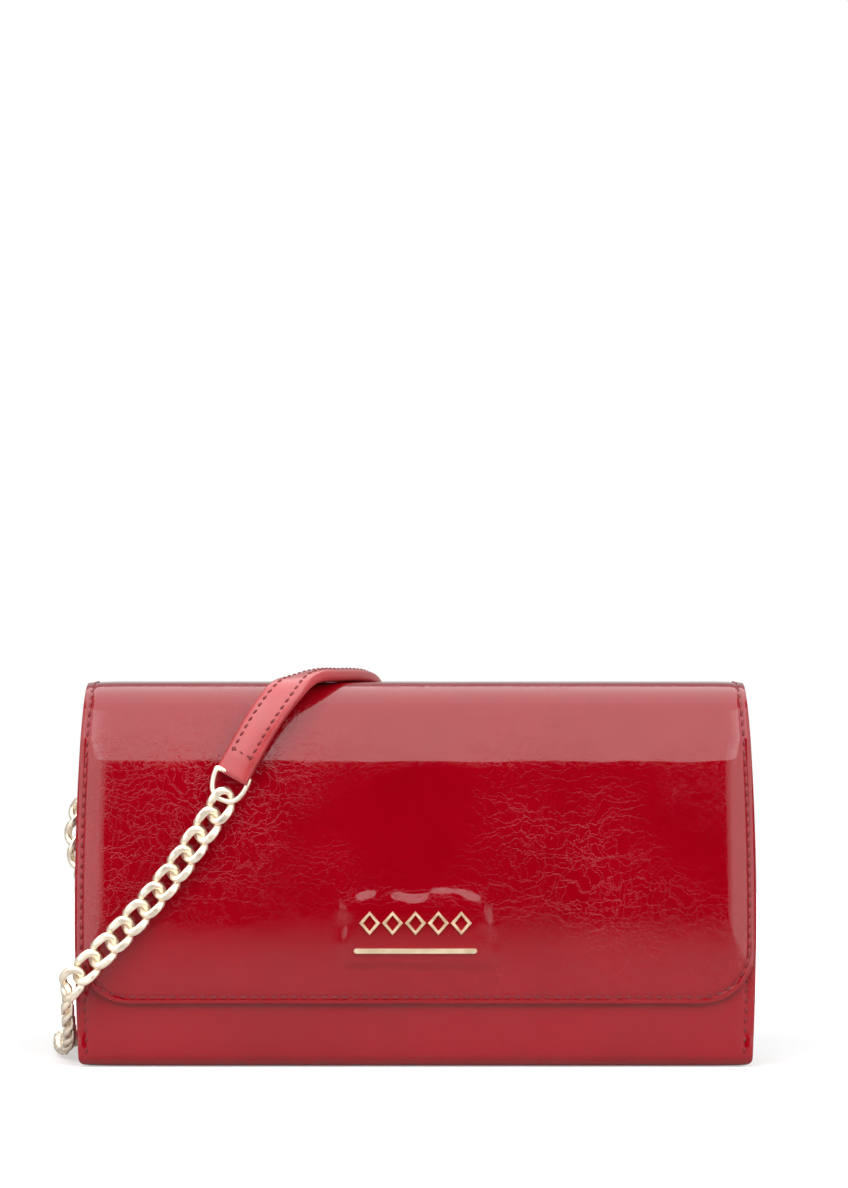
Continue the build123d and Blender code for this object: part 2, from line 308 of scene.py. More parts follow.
CAD_FINISH = {
    "lining": LINING, "zip_fabric": ZIP_CLOTH, "board": BOARD, "gold_metal": GOLD,
    "chain_metal": CHAIN, "strap_leather": SATIN, "patent_leather": PATENT_SMOOTH,
}
for part in frame["record"]["subparts"]:
    mesh = frame["nodes"][part["node"]].data
    mesh.materials.clear()
    mesh.materials.append(CAD_FINISH[part["material_slot"]])


# ---------------------------------------------------------------- mesh helpers


def new_piece(name, verts, faces, materials, body, soft=True, level=0, marks=None):
    """A mesh piece from points in millimetres, riding on a body."""
    mesh = bpy.data.meshes.new(name)
    mesh.from_pydata([tuple(c * MM for c in v) for v in verts], [], faces)
    mesh.validate()
    piece = bpy.data.objects.new(name, mesh)
    bpy.context.collection.objects.link(piece)
    for material in materials:
        mesh.materials.append(material)
    if marks:
        for face, mark in zip(mesh.polygons, marks):
            face.material_index = mark
    fix_normals(mesh)
    if soft:
        mesh.shade_smooth()
    if level:
        smoother = piece.modifiers.new("smooth", "SUBSURF")
        smoother.levels = smoother.render_levels = level
    if body:
        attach(piece, body)
    return piece


def fix_normals(mesh):
    work = bmesh.new()
    work.from_mesh(mesh)
    bmesh.ops.recalc_face_normals(work, faces=work.faces)
    work.to_mesh(mesh)
    work.free()


def grid_shell(rows, cols, outer, inner):
    """A closed shell: an outer and an inner grid of points, joined round their rims."""
    verts = [outer(i, j) for i in range(rows) for j in range(cols)]
    verts += [inner(i, j) for i in range(rows) for j in range(cols)]
    back = rows * cols
    faces, marks = [], []
    for i in range(rows - 1):
        for j in range(cols - 1):
            a, b = i * cols + j, i * cols + j + 1
            c, d = b + cols, a + cols
            faces.append((a, b, c, d))
            marks.append(0)
            faces.append((back + d, back + c, back + b, back + a))
            marks.append(1)
    rim = list(range(cols)) + [i * cols + cols - 1 for i in range(1, rows)]
    rim += [(rows - 1) * cols + j for j in range(cols - 2, -1, -1)]
    rim += [i * cols for i in range(rows - 2, 0, -1)]
    for a, b in zip(rim, rim[1:] + rim[:1]):
        faces.append((a, back + a, back + b, b))
        marks.append(2)
    return verts, faces, marks


def stitch_row(points, normals, pitch, length, slant=0.16, lift=0.1):
    """One stitch after another along a line: short threads, each a little turned and sunk at its ends."""
    verts, faces = [], []
    distance, gone = 0.0, 0.0
    for (a, b), n in zip(zip(points, points[1:]), normals):
        step = (b - a).length
        while gone <= distance + step and step > 1e-6:
            centre = a.lerp(b, (gone - distance) / step)
            along = (b - a).normalized()
            up = (n - along * n.dot(along)).normalized()
            side = along.cross(up)
            along = (along + side * slant).normalized()
            side = along.cross(up)
            add_stitch(verts, faces, centre + up * lift, along, side, up, length)
            gone += pitch
        distance += step
    return verts, faces


def join(verts, faces, more):
    """Add another mesh's points and faces to the end of one."""
    more_verts, more_faces = more
    offset = len(verts)
    verts += more_verts
    faces += [tuple(i + offset for i in face) for face in more_faces]


def add_stitch(verts, faces, centre, along, side, up, length):
    rings, around = 5, 6
    start = len(verts)
    for k in range(rings):
        t = k / (rings - 1) * 2 - 1
        radius = THREAD / 2 * math.sqrt(max(1 - 0.75 * t * t, 0.05))
        middle = centre + along * (t * length / 2) - up * (0.32 * t * t)
        for m in range(around):
            turn = 2 * math.pi * m / around
            verts.append(middle + side * (radius * math.cos(turn)) + up * (radius * math.sin(turn)))
    for k in range(rings - 1):
        for m in range(around):
            a = start + k * around + m
            b = start + k * around + (m + 1) % around
            faces.append((a, b, b + around, a + around))
    faces.append(tuple(start + m for m in range(around))[::-1])
    faces.append(tuple(start + (rings - 1) * around + m for m in range(around)))


# ---------------------------------------------------------------- camera and room
FRAME_HEIGHT = 404.8
DISTANCE = 1577.0
CAMERA_Z = 161.5
CAMERA_X = 2.9
SENSOR = 36.0

camera_data = bpy.data.cameras.new("camera")
camera = bpy.data.objects.new("camera", camera_data)
bpy.context.collection.objects.link(camera)
camera_data.sensor_width = SENSOR
camera_data.lens = SENSOR * DISTANCE / FRAME_HEIGHT
camera.location = (CAMERA_X * MM, (FLAP_FRONT - DISTANCE) * MM, CAMERA_Z * MM)
camera.rotation_euler = (math.pi / 2, 0, 0)
bpy.context.scene.camera = camera
bpy.context.scene.view_settings.view_transform = "Standard"


def softbox(name, place, aim, width, height, radiance):
    data = bpy.data.lights.new(name, "AREA")
    data.shape = "RECTANGLE"
    data.size, data.size_y = width, height
    data.energy = radiance * math.pi * width * height
    light = bpy.data.objects.new(name, data)
    bpy.context.collection.objects.link(light)
    light.location = place
    light.rotation_euler = (Vector(aim) - Vector(place)).to_track_quat("-Z", "Y").to_euler()
    light.visible_camera = False
    return light


def ground():
    near, far, wide, under = -0.9, 0.9, 0.28, -0.0002
    corners = [(x, y, under) for x, y in ((-wide, near), (wide, near), (wide, far), (-wide, far))]
    mesh = bpy.data.meshes.new("floor")
    mesh.from_pydata(corners, [], [(0, 1, 2, 3)])
    floor = bpy.data.objects.new("floor", mesh)
    bpy.context.collection.objects.link(floor)
    n = Nodes("pale_floor")
    split = n.add("ShaderNodeSeparateXYZ")
    n.put(split.inputs[0], n.object)
    behind = n.ramp(split.outputs["Y"], -0.62, -0.10)
    direct = n.add("ShaderNodeLightPath").outputs["Is Camera Ray"]
    length = n.add("ShaderNodeVectorMath", operation="LENGTH")
    n.put(length.inputs[0], n.object)
    # Painted light: to the camera only, the floor glows. The glow is weakest near the bag and full from 0.40
    # m out, so the floor reads white far off and darker round the bag, beside its real shadow.
    glow = n.ramp(length.outputs["Value"], 0.14, 0.40, 0.40, 1.0)
    n.put(n.shader.inputs["Emission Strength"], n.math("MULTIPLY", glow, direct))
    n.set(
        Base_Color=n.colours(behind, [(0.0, (0, 0, 0)), (1.0, (0.62, 0.62, 0.62))]),
        Roughness=1.0, Specular_IOR_Level=0.0, Emission_Color=(1, 1, 1, 1),
    )
    floor.data.materials.append(n.material)
    floor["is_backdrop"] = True


def sky():
    """Soft light from all round, with a dark side towards the front that gloss reflects."""
    world = bpy.data.worlds.new("room")
    bpy.context.scene.world = world
    world.use_nodes = True
    tree = world.node_tree
    tree.nodes.clear()
    add, link = tree.nodes.new, tree.links.new
    out = add("ShaderNodeOutputWorld")
    seen = add("ShaderNodeBackground")
    seen.inputs[0].default_value = (1, 1, 1, 1)
    seen.inputs[1].default_value = 1.0
    soft = add("ShaderNodeBackground")
    ray = add("ShaderNodeLightPath")
    where = add("ShaderNodeTexCoord")
    split = add("ShaderNodeSeparateXYZ")
    band = add("ShaderNodeMapRange")
    band.interpolation_type = "SMOOTHSTEP"
    for key, value in (("From Min", -0.75), ("From Max", 0.1), ("To Min", 0.0), ("To Max", 0.7)):
        band.inputs[key].default_value = value
    mix = add("ShaderNodeMixShader")
    link(where.outputs["Generated"], split.inputs[0])
    link(split.outputs["Y"], band.inputs["Value"])
    link(band.outputs[0], soft.inputs[1])
    link(ray.outputs["Is Camera Ray"], mix.inputs[0])
    link(soft.outputs[0], mix.inputs[1])
    link(seen.outputs[0], mix.inputs[2])
    link(mix.outputs[0], out.inputs[0])


ground()
sky()
BAG_MIDDLE = (0, 0, 0.12)
TOP_RADIANCE = 2.9
softbox("top_front", (0.0, -1.22, 1.17), BAG_MIDDLE, 2.2, 1.8, TOP_RADIANCE)
overhead = softbox("overhead", (0.0, 0.28, 1.70), BAG_MIDDLE, 2.2, 1.9, TOP_RADIANCE)
overhead.visible_diffuse = False
# Three boxes of shrinking width on each side give the reflected strip a soft edge.
SIDE_X, SIDE_Y, SIDE_Z, SIDE_WIDTH, SIDE_TALL = 0.50, 0.46, 0.22, 0.62, 1.04
for side in (-1, 1):
    for step, radiance in ((0.0, 0.8), (0.05, 0.7), (0.10, 0.7)):
        at = (side * (SIDE_X + 0.34 * step), -SIDE_Y + 0.37 * step, SIDE_Z)
        aim = (0, at[1] + SIDE_Y, SIDE_Z)
        softbox(f"side_{side}_{step:g}", at, aim, SIDE_WIDTH - step, SIDE_TALL, radiance)

# ---------------------------------------------------------------- the strap's route
# In millimetres. It keeps within a few millimetres of the CAD's tubes, and lies nearer to the flap.
SIDE_CHAIN = [
    (-104, 24, 98), (-113.5, 24.6, 91.5), (-118.8, 25.6, 81), (-117.6, 26.5, 68), (-111, 27.6, 54),
    (-104.5, 29.4, 41), (-98.5, 32, 30.5), (-92, 37, 20), (-86.5, 45, 10.5), (-84, 58, 4.4),
    (-88.5, 71.5, 3.2),
    (-100.5, 79, 3.2), (-113.5, 75.5, 3.2), (-121.5, 64, 3.2), (-124, 50, 3.2), (-123.2, 36, 3.2),
    (-121.8, 22, 3.4), (-120.2, 8, 6), (-119.2, -5, 11.8), (-119.2, -15, 19.5),
]
FRONT_CHAIN = [
    (-118.8, -25.6, 27.6), (-112.4, -27.0, 33.8), (-101.8, -27.0, 44.4), (-90.8, -27.2, 56.2),
    (-80.6, -27.2, 68.6), (-72.8, -27.0, 80), (-66.4, -26.9, 89.4),
    (-63.9, -26.9, 93.2),
]
PAD = [
    (-62.6, -27.2, 99.2), (-56.8, -27.2, 110), (-50.8, -26.9, 120.3), (-44.2, -24.6, 129),
    (-36.6, -16, 133.1), (-30, -5, 133.5), (-24.5, 6, 133.4), (-20, 16, 132.4), (-16.6, 24.4, 127.5),
    (-13.5, 27.2, 117), (-9.5, 28.2, 103), (-4, 28.8, 86), (2, 29.8, 68), (6.5, 32, 50),
    (8.5, 37.5, 33), (7.5, 47, 18.5), (2.5, 58.5, 7.5), (-7, 69.5, 3.4), (-20, 76.5, 3.2),
    (-35, 78, 3.2),
]
REAR_CHAIN = [
    (-45.6, 77.3, 3.2), (-60.0, 73, 3.2), (-68.5, 61, 3.2), (-68.5, 46.5, 3.2), (-59, 35, 3.2),
    (-45, 30, 3.2), (-29, 28.5, 3.2), (-11, 28.8, 3.2), (7, 27.6, 3.2), (25, 29, 3.2),
    (43, 33, 3.2), (61, 35, 3.2), (78, 33, 4), (93, 29.5, 9), (103, 27.2, 20.5),
    (107.5, 26, 35), (107.5, 25.4, 52), (105.5, 24.8, 75), (104, 24, 98),
]


def spline_points(route):
    """The smooth line of a route, read from its NURBS spline, in millimetres."""
    data = bpy.data.curves.new("route", "CURVE")
    data.dimensions = "3D"
    data.resolution_u = 24
    spline = data.splines.new("NURBS")
    spline.points.add(len(route) - 1)
    for point, place in zip(spline.points, route):
        point.co = (*(c * MM for c in place), 1.0)
    spline.order_u = 3
    spline.use_endpoint_u = True
    line = bpy.data.objects.new("route", data)
    mesh = bpy.data.meshes.new_from_object(line)
    points = [v.co * 1000 for v in mesh.vertices]
    bpy.data.objects.remove(line)
    bpy.data.meshes.remove(mesh)
    return points


def line_length(points):
    return sum((b - a).length for a, b in zip(points, points[1:]))


def sample(points, distance):
    """The place and direction at a distance along a line."""
    gone = 0.0
    for a, b in zip(points, points[1:]):
        step = (b - a).length
        if gone + step >= distance and step > 1e-9:
            return a.lerp(b, (distance - gone) / step), (b - a).normalized()
        gone += step
    return points[-1].copy(), (points[-1] - points[-2]).normalized()


def outward(place):
    """The way out from what the strap lies on: the bag's nearest face, or the ground."""
    near = Vector((
        min(max(place.x, -half_width(min(place.z, HEIGHT)) + 3), half_width(min(place.z, HEIGHT)) - 3),
        min(max(place.y, FLAP_FRONT + 3), BACK - 3),
        min(max(place.z, 0), HEIGHT - 3),
    ))
    away = (place - near).normalized()
    on_ground = smooth((14 - place.z) / 9) * smooth((place.y - 6) / 22)
    return (away * (1 - on_ground) + Vector((0, 0, 1)) * on_ground).normalized()


def frames(points, count):
    """Evenly spaced places along a line, each with its direction, side and way out."""
    total = line_length(points)
    result = []
    for k in range(count):
        place, along = sample(points, total * k / (count - 1))
        result.append([place, along, outward(place)])
    for _ in range(14):
        ways = [r[2] for r in result]
        for k in range(1, count - 1):
            result[k][2] = (ways[k - 1] + ways[k] * 2 + ways[k + 1]).normalized()
    out = []
    for place, along, way in result:
        side = along.cross(way).normalized()
        out.append((place, along, side, side.cross(along).normalized()))
    return out


# ---------------------------------------------------------------- curb chain
WIRE = 1.4
LINK_HALF = 5.4
LINK_SIDE = 3.6
PITCH = 2 * (LINK_HALF - WIRE)
TWIST = math.radians(36)
LINK_LEAN = math.radians(-15)
FLAT = 1.95
CHAIN_START, CHAIN_END = 1.0, 4.4
# The draped chain changes from the bag to the flap where it has come round to the front.
SPLIT_Y = -21.0


def link_line(count=28):
    """A link's centre line: a stretched round, its two ends turned opposite ways."""
    straight = LINK_HALF - LINK_SIDE
    out = []
    for k in range(count):
        turn = 2 * math.pi * k / count
        x = LINK_SIDE * math.cos(turn) + straight * math.tanh(2.2 * math.cos(turn)) / math.tanh(2.2)
        w = LINK_SIDE * math.sin(turn)
        tilt = TWIST * math.tanh(x / 1.9)
        out.append(Vector((x, w * math.cos(tilt), w * math.sin(tilt))))
    return out


def add_link(verts, faces, place, along, side, up):
    line = link_line()
    count, around = len(line), 10
    start = len(verts)
    for k, point in enumerate(line):
        tangent = (line[(k + 1) % count] - line[k - 1]).normalized()
        radial = Vector((point.x * 0.35, point.y, point.z))
        radial = (radial - tangent * radial.dot(tangent)).normalized()
        third = tangent.cross(radial)
        for m in range(around):
            turn = 2 * math.pi * m / around
            q = point + (radial * math.cos(turn) + third * math.sin(turn)) * WIRE
            q.z = max(-FLAT, min(FLAT, q.z))
            verts.append(place + along * q.x + side * q.y + up * q.z)
    for k in range(count):
        for m in range(around):
            a = start + k * around + m
            b = start + k * around + (m + 1) % around
            c = start + (k + 1) % count * around + (m + 1) % around
            d = start + (k + 1) % count * around + m
            faces.append((a, b, c, d))


def chain_piece(name, points, start, count, step, body, nodes):
    """A run of links along a line. Returns the piece and the stretch of the line that it follows."""
    verts, faces = [], []
    for place, along, side, up in frames_at(points, [start + k * step for k in range(count)]):
        leaning = along * math.cos(LINK_LEAN) + side * math.sin(LINK_LEAN)
        add_link(verts, faces, place, leaning, up.cross(leaning), up)
    path = [sample(points, start + (k - 0.5) * step)[0] for k in range(count + 1)]
    piece = new_piece(name, verts, faces, [CHAIN], body)
    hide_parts(*nodes)
    return piece, path


def frames_at(points, distances):
    """The same at given distances, for a chain: the way out is the mean over five links."""
    ways, out = [], []
    for d in distances:
        place, along = sample(points, d)
        ways.append((place, along, outward(place)))
    for k, (place, along, _) in enumerate(ways):
        near = ways[max(k - 2, 0):k + 3]
        mean = sum((w[2] for w in near), Vector())
        side = along.cross(mean).normalized()
        out.append((place, along, side, side.cross(along).normalized()))
    return out


draped = spline_points(SIDE_CHAIN + FRONT_CHAIN)
reach = line_length(draped)
front_start = next(
    d for d in (k * 0.5 for k in range(int(reach * 2))) if sample(draped, d)[0].y < SPLIT_Y and d > 100
)
links = round((reach - CHAIN_START - CHAIN_END) / PITCH)
draped_step = (reach - CHAIN_START - CHAIN_END) / links
links_side = math.ceil((front_start - CHAIN_START) / draped_step)
chain_side, side_path = chain_piece(
    "side_chain_links", draped, CHAIN_START, links_side, draped_step, "bag", ["chain_side"]
)
chain_front, front_path = chain_piece(
    "front_chain_links", draped, CHAIN_START + links_side * draped_step, links + 1 - links_side, draped_step,
    "flap", ["chain_front"]
)
behind = spline_points(REAR_CHAIN)
rear_reach = line_length(behind)
links_rear = round((rear_reach - 2 * CHAIN_START) / PITCH)
chain_rear, rear_path = chain_piece(
    "rear_chain_links", behind, CHAIN_START, links_rear + 1, (rear_reach - 2 * CHAIN_START) / links_rear,
    "bag", ["chain_rear"]
)


# How much wider a D-ring's bow is than its bar.
BOW_SWELL = 1.04


def wire_ring(name, bar, right, down, half, drop, wire, node, body):
    """A D-shaped ring of round wire: its bar lies along right and its bow hangs down from it."""
    right, down = Vector(right).normalized(), Vector(down).normalized()
    line = [Vector(bar) + right * (half * (k / 4 - 1)) for k in range(8)]
    for k in range(33):
        turn = math.pi * k / 32
        wide = half * BOW_SWELL * math.copysign(abs(math.cos(turn)) ** 0.72, math.cos(turn))
        line.append(Vector(bar) + right * wide + down * (drop * math.sin(turn) ** 0.8))
    normal = right.cross(down)
    verts, faces, around = [], [], 14
    count = len(line)
    for k, point in enumerate(line):
        along = (line[(k + 1) % count] - line[k - 1]).normalized()
        out = along.cross(normal).normalized()
        for m in range(around):
            turn = 2 * math.pi * m / around
            verts.append(point + (out * math.cos(turn) + normal * math.sin(turn)) * (wire / 2))
    for k in range(count):
        for m in range(around):
            a, b = k * around + m, k * around + (m + 1) % around
            c, d = (k + 1) % count * around + (m + 1) % around, (k + 1) % count * around + m
            faces.append((a, b, c, d))
    ring = new_piece(name, verts, faces, [CHAIN], body)
    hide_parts(node)


RING_HALF, RING_DROP, RING_WIRE = 5.7, 9.6, 1.75
wire_ring(
    "front_strap_ring", (-62.0, -27.3, 100.4), (0.93, 0, -0.37), (-0.37, 0, -0.93),
    RING_HALF, RING_DROP, RING_WIRE, "pad_ring_front", "flap",
)
wire_ring(
    "rear_strap_ring", (-33.6, 77.9, 3.2), (0.1, 0.995, 0), (-0.995, 0.1, 0),
    RING_HALF, RING_DROP, RING_WIRE, "pad_ring_rear", "bag",
)
for side_name in ("left", "right"):
    low, high = (Vector(c) * 1000 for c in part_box(f"{side_name}_d_ring"))
    thick = high.y - low.y
    wire_ring(
        f"{side_name}_side_ring", ((low.x + high.x) / 2, (low.y + high.y) / 2, high.z - thick / 2), (1, 0, 0),
        (0, 0.05, -1), (high.x - low.x - thick) / 2 / BOW_SWELL, high.z - low.z - thick, thick,
        f"{side_name}_d_ring", "bag",
    )

# ---------------------------------------------------------------- shoulder pad
PAD_WIDTH = 12.0
PAD_THICK = 4.2
PAD_LEAN = math.radians(14)
PAD_SEAM = 2.5
PAD_STEPS = 150
PAD_PITCH, PAD_STITCH = 2.9, 2.2


def pad_section(count=28):
    """Half-round edges, a slightly domed face and a stitch groove near each edge."""
    out = []
    for k in range(count):
        turn = 2 * math.pi * k / count
        c, s = math.cos(turn), math.sin(turn)
        w = PAD_WIDTH / 2 * math.copysign(abs(c) ** 0.45, c)
        h = PAD_THICK / 2 * math.copysign(abs(s) ** 0.55, s)
        out.append((w, h))
    return out


def make_pad():
    line = spline_points(PAD)
    steps = []
    for place, along, side, up in frames(line, PAD_STEPS):
        lean = PAD_LEAN * smooth((-place.y - 4) / 18)
        turned_side = side * math.cos(lean) + up * math.sin(lean)
        turned_up = up * math.cos(lean) - side * math.sin(lean)
        steps.append((place, along, turned_side, turned_up))
    section = pad_section()
    verts, faces = [], []
    count = len(section)
    for k, (place, along, side, up) in enumerate(steps):
        edge = min(k, PAD_STEPS - 1 - k)
        thin = 0.62 + 0.38 * smooth(edge / 4)
        for w, h in section:
            groove = 0.22 * math.exp(-(((abs(w) - PAD_WIDTH / 2 + PAD_SEAM) / 0.45) ** 2))
            dome = 0.3 * (1 - (2 * w / PAD_WIDTH) ** 2)
            rise = math.copysign(abs(h) * thin + dome * (abs(h) > 0.6) - groove * (abs(h) > 0.9), h)
            verts.append(place + side * w + up * rise)
    for k in range(PAD_STEPS - 1):
        for m in range(count):
            a, b = k * count + m, k * count + (m + 1) % count
            faces.append((a, b, b + count, a + count))
    faces.append(tuple(range(count))[::-1])
    faces.append(tuple((PAD_STEPS - 1) * count + m for m in range(count)))
    pad = new_piece("shoulder_pad", verts, faces, [SATIN], None)
    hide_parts("pad_front", "pad_rear")

    verts, faces = [], []
    first, last = 5, PAD_STEPS - 6
    for edge in (-1, 1):
        run = [p + s * (edge * (PAD_WIDTH / 2 - PAD_SEAM)) + u * (PAD_THICK / 2 + 0.02)
               for p, a, s, u in steps[first:last]]
        join(verts, faces, stitch_row(run, [u for p, a, s, u in steps[first:last]], PAD_PITCH, PAD_STITCH))
    for place, along, side, up in (steps[first], steps[last]):
        run = [place + side * w + up * (PAD_THICK / 2 + 0.05) for w in (-3.2, 0.0, 3.2)]
        join(verts, faces, stitch_row(run, [up, up], PAD_PITCH, PAD_STITCH))
    threads = new_piece("pad_stitching", verts, faces, [THREAD_RED], None)
    for piece in (pad, threads):
        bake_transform(piece)
    return pad, line


pad, pad_line = make_pad()

# ---------------------------------------------------------------- flap
FLAP_STEP = 0.8
CREASE_Z = 99.5
REAR_SEAM = 114.0
REAR_Y = BACK + 1.1
REAR_BEND = 6.0
EDGE_Y = FLAP_FRONT + 2.0
SKIN = 1.0
CLOTH = 0.5
STITCH_IN = 2.4
FLAP_COLUMNS = 181
FLAP_PITCH, FLAP_STITCH = 3.45, 2.7
# The padded patch that the ornament is pressed on, in millimetres: its middle across, half width, lower and
# upper edges and height.
PATCH_X, PATCH_HALF, PATCH_LOW, PATCH_HIGH, PATCH_HEIGHT = 0.5, 27.5, 33.0, 64.0, 1.15


def flap_profile():
    """The flap's middle line from its lower edge, up the front, over the top and down to the rear seam.
    Each entry is y, z and the tilt of the surface: 0 faces the front, 90 degrees up and 180 the rear."""
    y, z, out = FLAP_FRONT + 0.3, FLAP_LOW, []
    while z < 119.0:
        tilt = -4.0 * (1 - smooth((z - FLAP_LOW) / 38)) + 1.5 * smooth((z - 58) / 36)
        tilt += 7.5 * smooth((z - CREASE_Z) / 7) + 5.0 * smooth((z - 106) / 12)
        turn = math.radians(tilt)
        out.append((y, z, turn))
        y, z = y + FLAP_STEP * math.sin(turn), z + FLAP_STEP * math.cos(turn)
    bend = (HEIGHT - z) / (1 - math.sin(turn))
    centre_y, centre_z = y + bend * math.cos(turn), HEIGHT - bend
    steps = int(bend * (math.pi / 2 - turn) / FLAP_STEP)
    for k in range(steps + 1):
        angle = turn + (math.pi / 2 - turn) * k / steps
        out.append((centre_y - bend * math.cos(angle), centre_z + bend * math.sin(angle), angle))
    rear_y = REAR_Y - REAR_BEND
    steps = int((rear_y - centre_y) / (2 * FLAP_STEP))
    for k in range(1, steps + 1):
        out.append((centre_y + (rear_y - centre_y) * k / steps, HEIGHT, math.pi / 2))
    for k in range(1, 13):
        angle = math.pi / 2 * (1 + k / 12)
        rise = REAR_BEND * math.sin(angle)
        out.append((rear_y - REAR_BEND * math.cos(angle), HEIGHT - REAR_BEND + rise, angle))
    z = HEIGHT - REAR_BEND
    for k in range(1, 9):
        out.append((REAR_Y, z + (REAR_SEAM - z) * k / 8, math.pi))
    return out


PROFILE = flap_profile()
FRONT_ROWS = next(i for i, (y, z, t) in enumerate(PROFILE) if t > math.radians(89)) + 1


def corner_half(z, inset=0.0):
    """Half the flap's width at a height on its front, with its round lower corners."""
    full = half_width(z) - inset
    radius = FLAP_CORNER - inset
    rise = FLAP_LOW + FLAP_CORNER - z
    if rise <= 0:
        return full
    return full - radius + math.sqrt(max(radius * radius - rise * rise, 0.0))


def outline_distance(x, z):
    """How far a point of the flap's front lies inside its outline."""
    x = abs(x)
    full = half_width(z)
    cx, cz = full - FLAP_CORNER, FLAP_LOW + FLAP_CORNER
    if x > cx and z < cz:
        return FLAP_CORNER - math.hypot(x - cx, z - cz)
    return min(full - x, z - FLAP_LOW)


def groove(distance, at, depth=0.42, width=0.62):
    return depth * math.exp(-(((distance - at) / width) ** 2))


def plateau(x, z):
    """The padded patch that the ornament is pressed on."""
    wander = 1.4 * noise.noise(Vector((x / 7, z / 7, 6.0)))
    wide = smooth((PATCH_HALF + wander - abs(x - PATCH_X)) / 6.5)
    tall = smooth((z - PATCH_LOW + wander) / 4.0) * smooth((PATCH_HIGH + wander - z) / 11.0)
    return wide * tall


def flap_sink(row, x):
    """How far the surface lies behind the middle line at a row and a place across."""
    y, z, tilt = PROFILE[row]
    side = max(half_width(z) - abs(x), 0.0)
    if tilt < math.radians(20):
        amount = max(0.8, EDGE_Y - y) + 0.3
    else:
        amount = 0.8 - 0.5 * smooth((tilt - 0.35) / 1.2)
    sink = amount * max(1 - side / 13.0, 0.0) ** 2.2
    if row < FRONT_ROWS:
        inside = outline_distance(x, z)
        sink += 0.55 * math.exp(-max(inside, 0.0) / 2.2) + groove(inside, STITCH_IN)
        sink -= PATCH_HEIGHT * plateau(x, z)
    else:
        sink += groove(side, STITCH_IN, depth=0.2)
    fade = smooth(side / 10)
    sink += fade * 0.07 * noise.noise(Vector((x / 30, z / 22 + y / 22, 3.0)))
    sink += fade * 0.012 * noise.noise(Vector((x / 9, z / 8 + y / 8, 8.0)))
    return sink


def flap_point(row, x, below=0.0):
    y, z, tilt = PROFILE[row]
    sink = flap_sink(row, x) + below
    if CREASE_Z - 12 < z < CREASE_Z + 22 and row < FRONT_ROWS:
        sink += 0.045 * noise.noise(Vector((x / 11, z / 6, 1.0))) * smooth((half_width(z) - abs(x)) / 12)
    return Vector((x, y + math.cos(tilt) * sink, z - math.sin(tilt) * sink))


def row_at(z):
    """The row of the flap's front nearest a height."""
    return min(range(FRONT_ROWS), key=lambda i: abs(PROFILE[i][1] - z))


def across(j, count):
    """A column's place across, -1 to 1, with the columns closer together towards the edges."""
    t = 2 * j / (count - 1) - 1
    return t * (1.42 - 0.42 * t * t)


def flap_shell(name, top, bottom, inset, materials):
    """A layer of the flap between two depths below its outer surface."""

    def place(depth):
        def point(i, j):
            z = PROFILE[i][1]
            if i < FRONT_ROWS:
                low = FLAP_LOW + inset
                half = corner_half(max(z, low + 0.02), inset)
            else:
                half = half_width(z) - inset
            q = flap_point(i, across(j, FLAP_COLUMNS) * half, depth)
            if i == 0:
                q.z += inset
            return q
        return point

    verts, faces, marks = grid_shell(len(PROFILE), FLAP_COLUMNS, place(top), place(bottom))
    piece = new_piece(name, verts, faces, materials, None, marks=marks)
    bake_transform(piece)
    return piece


skin = flap_shell("flap_skin", 0.0, SKIN, 0.0, [PATENT, LINING, EDGE])
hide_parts("flap_leather", "flap_board")
flap_cloth = flap_shell("flap_cloth", SKIN + 0.02, SKIN + CLOTH, 0.8, [LINING, LINING, LINING])
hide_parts("flap_lining")


def flap_stitching():
    """One seam round the flap: up the sides over the top, and along the lower edge."""
    left = []
    for i in range(len(PROFILE) - 3, 0, -2):
        z = PROFILE[i][1]
        if i < FRONT_ROWS and z < FLAP_LOW + FLAP_CORNER:
            break
        left.append((i, half_width(z) - STITCH_IN))
    radius = FLAP_CORNER - STITCH_IN
    for k in range(1, 16):
        turn = math.pi / 2 * k / 15
        z = FLAP_LOW + FLAP_CORNER - radius * math.sin(turn)
        left.append((row_at(z), half_width(z) - FLAP_CORNER + radius * math.cos(turn), z))
    points = []
    for entry in left:
        q = flap_point(entry[0], -entry[1])
        if len(entry) == 3:
            q.z = entry[2]
        tilt = PROFILE[entry[0]][2]
        points.append((q, Vector((-0.25, -math.cos(tilt), math.sin(tilt))).normalized()))
    last = points[-1][0].x
    middle = [
        (Vector((x, flap_point(row_at(FLAP_LOW + STITCH_IN), x).y, FLAP_LOW + STITCH_IN)), Vector((0, -1, 0)))
        for x in (last - 2 * last * k / 60 for k in range(1, 60))
    ]
    mirrored = [(Vector((-q.x, q.y, q.z)), Vector((-n.x, n.y, n.z))) for q, n in reversed(points)]
    whole = points + middle + mirrored
    verts, faces = stitch_row([q for q, n in whole], [n for q, n in whole], FLAP_PITCH, FLAP_STITCH)
    piece = new_piece("flap_stitching", verts, faces, [THREAD_RED], None)
    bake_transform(piece)


flap_stitching()

# ---------------------------------------------------------------- walls
WALL = 1.25
BASE_ROUND = 5.0
WALL_COLUMNS = 121
WALL_CORNER = 2.4
WALL_SEAM = 3.0
WALL_PITCH, WALL_STITCH = 3.4, 2.5
FRONT_STEPS, BACK_STEPS = 44, 39


